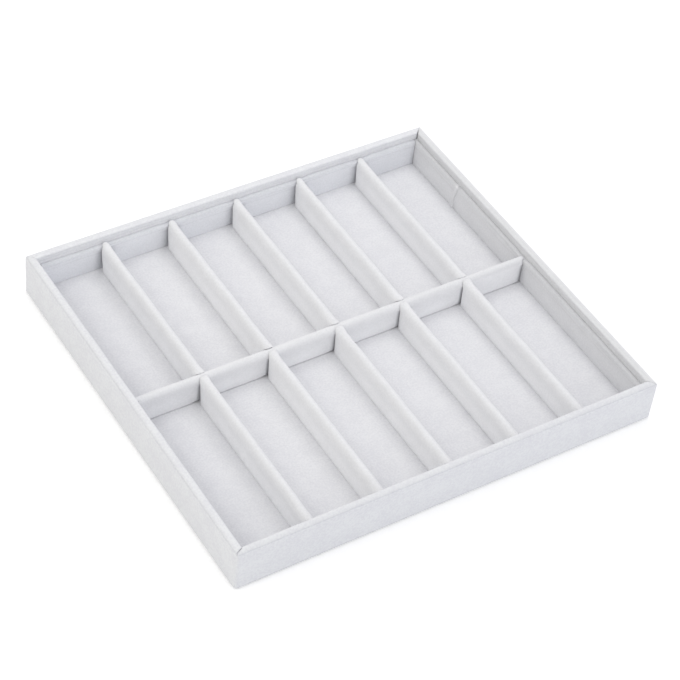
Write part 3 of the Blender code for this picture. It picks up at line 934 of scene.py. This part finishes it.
def squareUp(place, look, high, top, fromEnd, isBack):  # the folded end of a padded top
    curve = look["round"]
    corner = Vector((place.y, (place.z - high.z) * curve / look["crown"] + curve * mm))
    share = 2 * abs(corner.x * corner.y) / max(corner.length_squared, 1e-12)
    squarer = divider["squareEnd"] * share ** 2 * fade(fromEnd, *divider["squareReach"]) * mm
    place.yz += corner.normalized() * squarer
    settle, square = divider["endSettle"] if isBack else (0.0, divider["squareEnd"] / 2)
    rise = square * fade(fromEnd, 0.0, look["endRound"])
    rise -= settle * fade(fromEnd, 0.0, divider["settleReach"])
    place.z += rise * top * mm


def dividerPaintedShade(place, kind, low, top, height, fromEnd):  # how much painted shade a point gets
    look = divider["shade"]
    amount, way, shadeAcrossStart, shadeAcrossEnd = divider[kind]["brush"]
    clear = smooth(place.x, *look["clearFrom"]) if kind == "center" else 0
    atEnd = fade(fromEnd, *look["endReach"]) * fade(height, *look["endTop"])
    atFoot = fading((place.z - low.z) / mm, *look["foot"])
    onSide = smooth(height, *look["sideFrom"]) * fade(height, *look["sideTo"])
    shadedAcross = fade(place.y / mm * way, shadeAcrossStart, shadeAcrossEnd)
    shade = max(look["end"] * atEnd, atFoot)
    shade = max(shade, look["side"] * onSide * (1 - look["clearSide"] * clear))
    shade = max(shade, amount * shadedAcross * smooth(height, *look["brushFrom"]))
    shade += look["even"] * (1 - clear * fade(height, *look["clearTop"]))
    cleanest = smooth(place.x, *look["cleanestFrom"]) * fade(height, *look["cleanestTop"])
    shade *= 1 - look["cleanest"] * cleanest * clear
    if kind == "center":
        shade += look["worn"] * top * smooth(place.x, *look["wornFrom"])
    return shade


def atCrossing(place, low, height):  # how far the foot gapes, and how much painted shade a point gets
    look = divider["crossing"]
    toJoint = min(abs(place.x - spot) for spot in joints) / mm
    before = min([spot - place.x for spot in joints if spot >= place.x] or [0.0]) / mm
    above = (place.z - low.z) / mm
    most, lessRight = look["liftShare"]
    gape = look["lift"] * hump(before, *look["liftAt"]) * fade(above, 0.0, look["liftHeight"])
    gape *= most - lessRight * smooth(place.x, *look["liftFrom"]) if place.y < 0 else 0
    behind = fade(toJoint, *look["behindReach"]) * fade(height, *look["behindTop"])
    crack = fade(above, *look["crackHeight"])
    crack *= look["crack"] * (2 - smooth(toJoint, *look["crackReach"]))
    return gape, max(look["behind"] * behind, crack)


def makeDivider(name, blank, kind, low, high, turn):
    look = divider[kind]
    piece = blank.copy()
    piece.data = blank.data.copy()
    title = name.title().replace("_", "")
    piece.name = title[0].lower() + title[1:] + "Cover"
    piece.data.name = piece.name
    bpy.context.scene.collection.objects.link(piece)
    seed = 60 + list(dividerEnds).index(name)
    length = max(high.x - low.x, high.y - low.y)
    footSettle, settleTop = divider["foot"]
    crushed = []
    for vertex in piece.data.vertices:
        place = vertex.co
        fromEnd = (length / 2 - abs(place.x)) / mm
        towards = 1 if place.x > 0 else -1
        toWall = place.x < 0 if name.startswith("front") else place.x > 0
        foot, lap, lift = dividerEnds[name][1 if toWall else 0]
        leaning = fade(fromEnd, 0.0, divider["endReach"])
        tip = fade(fromEnd, 0.0, divider["tipReach"])
        height = (place.z - low.z) / (high.z - low.z)
        lip = smooth(place.z / mm, *look["lipRange"])
        top = smooth(place.z, high.z - look["crown"] * mm, high.z)
        if kind == "short" and not toWall and top > 0:
            squareUp(place, look, high, top, fromEnd, name.startswith("back"))
        shade = dividerPaintedShade(place, kind, low, top, height, fromEnd)
        gape, reachOut, onShoulder = 0.0, 0.0, 0.0
        if kind == "center":
            gape, jointShade = atCrossing(place, low, height)
            shade = max(shade, jointShade)
            reachOut = divider["centerReachOut"] * smooth(height, *divider["reachOutFrom"])
        elif not toWall:
            onShoulder = shoulderGap(place.z)
        crushed.append(shade)
        spot = (place.x, place.y * divider["swayAcross"], place.z)
        sway = uneven(spot, divider["swellLength"] * mm, seed) * smooth(height, *divider["swellFrom"])
        place.y += look["swell"] * mm * sway * (1 - leaning)
        rise = uneven((place.x, 0, 0), divider["topSwellLength"] * mm, seed + 9)
        place.z += look["swell"] * mm * rise * top
        place.x += towards * ((lap * lip + reachOut) * tip - foot * (1 - height) * leaning) * mm
        place.x += towards * onShoulder * fade(fromEnd, *divider["shoulderReach"]) * mm
        settled = footSettle * fade(height, 0.0, settleTop)
        place.z += (lift * top * tip + gape - settled) * mm
    paintShade(piece, crushed)
    giveThickness(piece, look["thickness"] * mm)
    middle = (low + high) / 2
    turnPiece(piece, turn, (middle.x, middle.y, 0))
    softShade(piece, 60)
    dress(piece, finishes["divider velvet"], "divider_velvet", name + "_cover")


def makeDividers():
    for kind, sample, turn in (("center", "center_divider", 0), ("short", "front_divider_1", 90)):
        low, high = nodeBox(sample + "_cover")
        sides = sorted((high.x - low.x, high.y - low.y))
        blank = makeDividerBlank(kind, sides[1], sides[0], low.z, high.z)
        for name in dividerEnds:
            if name.startswith("center") == (kind == "center"):
                makeDivider(name, blank, kind, *nodeBox(name + "_cover"), turn)
        bpy.data.objects.remove(blank)


makeBottomSheet()
makeOuterWrap()
print("outer wrap done")
for side in sideOrder:
    makeRimWrap(side)
print("rim wraps done")
makeFloorLining()
for name in linerTops:
    makeLiner(name)
print("floor and wall linings done")
makeDividers()
print("dividers done")


# Camera: the photograph's view, worked out from the tray's edges
view = {"azimuth": -36.4446, "elevation": 44.9677, "roll": 7.2073, "distance": 1.86988,
        "lens": 115.99, "sensor": 36.0, "target": (0.0132, 0.01156, 0.0)}


def makeCamera():
    turn, tilt, roll = (radians(view[name]) for name in ("azimuth", "elevation", "roll"))
    back = Vector((sin(turn) * cos(tilt), -cos(turn) * cos(tilt), sin(tilt)))
    right = Vector((cos(turn), sin(turn), 0))
    up = back.cross(right)
    right, up = cos(roll) * right + sin(roll) * up, cos(roll) * up - sin(roll) * right
    data = bpy.data.cameras.new("camera")
    data.sensor_width = view["sensor"]
    data.lens = view["lens"]
    camera = bpy.data.objects.new("camera", data)
    bpy.context.scene.collection.objects.link(camera)
    pose = Matrix((right, up, back)).transposed().to_4x4()
    camera.matrix_world = Matrix.Translation(Vector(view["target"]) + back * view["distance"]) @ pose
    bpy.context.scene.camera = camera


# Studio: a pale dome, three soft boxes and a white table
studio = {"dome": 0.80, "domeColor": "FDFDFF", "tableColor": "F2F2F2", "tableGlow": 0.27, "tableSize": 6.0,
          "tableDrop": 0.2}
softBoxes = {  # power, size, place and colour
    "softBoxTop": (1.35, 0.4, (0.35, 0.3, 0.9), "FFFFFF"),
    "softBoxLeft": (3.3, 1.0, (-1.2, 0.0, 0.6), "FFFDEA"),
    "softBoxFront": (2.9, 0.8, (0.3, -1.3, 0.35), "F8FDFF"),
}


def makeStudio():
    world = bpy.data.worlds.new("dome")
    bpy.context.scene.world = world
    world.use_nodes = True
    tree = world.node_tree
    dome = tree.nodes["Background"]
    dome.inputs["Color"].default_value = hexColor(studio["domeColor"])
    dome.inputs["Strength"].default_value = studio["dome"]
    ray = addNode(tree, "LightPath")
    backdrop = addNode(tree, "Background", {"Color": hexColor("FFFFFF"), "Strength": 1.0})
    seen = addNode(tree, "MixShader", links={0: (ray, "Is Camera Ray"), 1: (dome, 0), 2: (backdrop, 0)})
    tree.links.new(seen.outputs[0], tree.nodes["World Output"].inputs["Surface"])
    for name, (power, size, place, color) in softBoxes.items():
        data = bpy.data.lights.new(name, "AREA")
        data.shape = "SQUARE"
        data.size = size
        data.energy = power
        data.color = hexColor(color)[:3]
        box = bpy.data.objects.new(name, data)
        bpy.context.scene.collection.objects.link(box)
        box.location = place
        box.rotation_euler = Vector(place).to_track_quat("Z", "Y").to_euler()

    # Matt white table top. A faint glow, seen by the camera alone, turns it white outside the
    # tray's soft shadow.
    table, tree, shader = newMaterial("matt white table")
    tree.nodes.remove(shader)
    ray = addNode(tree, "LightPath")
    level = addNode(tree, "Math", {"operation": "MULTIPLY", 1: studio["tableGlow"]}, {
        0: (ray, "Is Camera Ray")})
    paint = addNode(tree, "BsdfDiffuse", {"Color": hexColor(studio["tableColor"])})
    glow = addNode(tree, "Emission", {"Color": hexColor("FFFFFF")}, {"Strength": (level, 0)})
    both = addNode(tree, "AddShader", links={0: (paint, 0), 1: (glow, 0)})
    tree.links.new(both.outputs[0], tree.nodes["Material Output"].inputs["Surface"])
    bpy.ops.object.select_all(action="DESELECT")
    bpy.ops.mesh.primitive_plane_add(size=studio["tableSize"], location=(0, 0, -studio["tableDrop"] * mm))
    top = bpy.context.object
    top.name = "tableTop"
    top.data.materials.append(table)


makeCamera()
makeStudio()
bpy.context.scene.view_settings.view_transform = "Standard"
print("camera and studio done")
